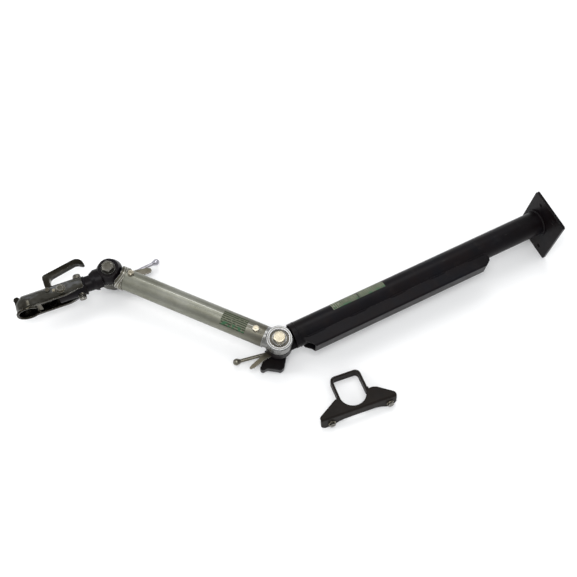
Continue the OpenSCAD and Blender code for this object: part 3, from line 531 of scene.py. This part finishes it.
# ------------------------------------------------------------------ weld beads
def bead(name, pts, width, body, mat, slot_name, closed=False, seed=1, ripple=0.0032):
    """rippled weld bead along a path of points, round in section"""
    rnd = random.Random(seed)
    # resample the path evenly
    P = [Vector(p) for p in pts]
    if closed:
        P.append(P[0])
    L = [0.0]
    for a, b in zip(P, P[1:]):
        L.append(L[-1] + (b - a).length)
    step = ripple / 5
    n = max(8, int(L[-1] / step))
    path = []
    k = 0
    for i in range(n if closed else n + 1):
        d = L[-1] * i / n
        while k < len(L) - 2 and L[k + 1] < d:
            k += 1
        t = (d - L[k]) / max(1e-9, L[k + 1] - L[k])
        path.append((P[k].lerp(P[k + 1], t), d))
    bm = bmesh.new()
    rings = []
    m = len(path)
    wob = rnd.random() * 6
    for i, (p, d) in enumerate(path):
        a = path[(i - 1) % m][0] if closed or i else path[0][0]
        b = path[(i + 1) % m][0] if closed or i < m - 1 else path[-1][0]
        tan = (b - a).normalized()
        ref = Vector((0, 0, 1)) if abs(tan.z) < 0.9 else Vector((1, 0, 0))
        s = tan.cross(ref).normalized()
        u = s.cross(tan).normalized()
        ph = (d / ripple) % 1.0
        w = width * (1 + 0.16 * (1 - (2 * ph - 1) ** 2) + 0.10 * math.sin(d * 310 + wob) + 0.05 * math.sin(d * 1170 + 2 * wob))
        if not closed:
            w *= min(1.0, 0.35 + (min(d, L[-1] - d) / (width * 2.2)))
        ring = []
        for q in range(10):
            th = 2 * math.pi * q / 10
            ring.append(bm.verts.new(p + s * (w * math.cos(th)) + u * (w * math.sin(th)) - tan * (0.0011 * math.cos(th) ** 2 * 0)))
        rings.append(ring)
    for i in range(m if closed else m - 1):
        A, B = rings[i], rings[(i + 1) % m]
        for q in range(10):
            r = (q + 1) % 10
            bm.faces.new((A[q], A[r], B[r], B[q]))
    if not closed:
        bm.faces.new(rings[0][::-1])
        bm.faces.new(rings[-1])
    o = from_bm(bm, name, 60)
    return finish_piece(o, mat, body, slot_name)

def circle_pts(x, r, n=96, yc=0.0):
    return [(x, yc + r * math.cos(2 * math.pi * i / n), r * math.sin(2 * math.pi * i / n)) for i in range(n)]

bead("flange_weld", circle_pts(-0.0098, 0.0358), 0.0034, "beam", M["black_enamel"], "black_enamel", True, 3)
bead("beam_head_weld", circle_pts(-0.7900, 0.0343), 0.0016, "beam", M["black_enamel"], "black_enamel", True, 4)
# keel runs, in stitches on both sides of the beam
yk = -math.sqrt(0.0350 ** 2 - 0.0240 ** 2)
for s in (-1, 1):
    for k, (a, b) in enumerate(((-0.772, -0.716), (-0.640, -0.590), (-0.515, -0.465), (-0.390, -0.340), (-0.268, -0.212))):
        bead("keel_weld_%d_%d" % (k, s + 1), [(a + (b - a) * i / 8, yk - 0.0004, s * 0.0244) for i in range(9)], 0.0021, "beam", M["black_enamel"], "black_enamel", False, 10 + k + 5 * s)
# strap to plate, both legs, on the underside and outside corners
dr_, st = 0.037, 0.0065
for s in (-1, 1):
    xo = s * (dr_ + st + 0.0006)
    pts = [IN_SADDLE @ Vector((xo, 0.011 + 0.037 - 0.004 + 0.008 * i / 6, -0.0001)) for i in range(7)]
    bead("strap_weld_%d" % (s + 1), pts, 0.0018, "beam", M["saddle_enamel"], "saddle_enamel", False, 30 + s)
# shoulder seam on the coupling's neck
bead("neck_weld", [IN_HEAD @ Vector((-0.0745, -0.012 + 0.0238 * math.cos(2 * math.pi * i / 72), 0.0238 * math.sin(2 * math.pi * i / 72))) for i in range(72)], 0.0022, "hitch", M["black_casting"], "black_casting", True, 41)

# ------------------------------------------------------------------ soft edges on everything that keeps its CAD shape
replaced = set()
for o in bpy.data.objects:
    if "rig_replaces" in o:
        replaced |= set(o["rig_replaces"])
SMALL = {"link_cross_washers", "coupling_washers", "saddle_washers", "rear_head_washer", "front_head_washer", "rear_thrust_washer",
         "front_thrust_washer", "shell_rivets", "handle_pin", "rear_lock_blade", "front_lock_blade"}
SKIP = {"handle_spring", "beam_labels", "link_label"}
for n, o in N.items():
    if n in replaced or n in SKIP:
        continue
    wmod = o.modifiers.new("weld", "WELD")
    wmod.merge_threshold = 2e-6
    bv = o.modifiers.new("edges", "BEVEL")
    bv.limit_method = "ANGLE"
    bv.angle_limit = math.radians(38)
    bv.width = 0.0003 if n in SMALL else 0.0007
    bv.segments = 2
    bv.use_clamp_overlap = True
    bv.harden_normals = False
    wn = o.modifiers.new("normals", "WEIGHTED_NORMAL")
    wn.keep_sharp = True
    wn.weight = 60

# ------------------------------------------------------------------ stage, light, camera
fz = -0.0932
me = bpy.data.meshes.new("floor")
bm = bmesh.new()
L = 14.0
vs = [bm.verts.new(p) for p in ((-L, -L, fz), (L, -L, fz), (L, L, fz), (-L, L, fz))]
bm.faces.new(vs)
bm.to_mesh(me); bm.free()
floor = bpy.data.objects.new("floor", me)
bpy.context.scene.collection.objects.link(floor)
fm, nt, b = new_mat("floor_paint")
b.inputs["Base Color"].default_value = (0.98, 0.98, 0.98, 1)
b.inputs["Roughness"].default_value = 0.95
b.inputs["Specular IOR Level"].default_value = 0.0
me.materials.append(fm)

w = bpy.data.worlds.new("world")
bpy.context.scene.world = w
w.use_nodes = True
w.node_tree.nodes["Background"].inputs[0].default_value = (0.97, 0.985, 1, 1)
w.node_tree.nodes["Background"].inputs[1].default_value = 0.72

def area(name, loc, target, size, power, colour=(1, 1, 1)):
    l = bpy.data.lights.new(name, "AREA")
    l.shape = "RECTANGLE"; l.size = size[0]; l.size_y = size[1]; l.energy = power
    l.color = colour
    o = bpy.data.objects.new(name, l)
    bpy.context.scene.collection.objects.link(o)
    o.location = loc
    o.rotation_mode = "QUATERNION"
    o.rotation_quaternion = (Vector(target) - Vector(loc)).to_track_quat("-Z", "Y")
    return o
area("key", (-1.3, -0.55, 2.9), (-0.7, 0.1, 0), (1.0, 1.0), 34)
area("top", (0.1, 1.7, 3.0), (-0.6, 0.1, 0), (1.6, 1.6), 30)
area("left", (-3.2, 0.9, 1.4), (-0.7, 0.1, 0), (0.7, 1.2), 14)

cam = bpy.data.objects.new("camera", bpy.data.cameras.new("camera"))
bpy.context.scene.collection.objects.link(cam)
R = ((0.891606, -0.451974, 0.027526), (-0.403833, -0.821193, -0.403189), (0.204835, 0.34837, -0.914703))
C = (-1.21848, -0.67036, 2.10206)
rt, dn, fw = (Vector(r) for r in R)
up = -dn
cam.matrix_world = Matrix(((rt.x, up.x, -fw.x, C[0]), (rt.y, up.y, -fw.y, C[1]), (rt.z, up.z, -fw.z, C[2]), (0, 0, 0, 1)))
cam.data.sensor_width = 36
cam.data.lens = 831.326 / 577 * 36
bpy.context.scene.camera = cam
bpy.context.scene.view_settings.view_transform = "Standard"
bpy.context.scene.view_settings.look = "None"
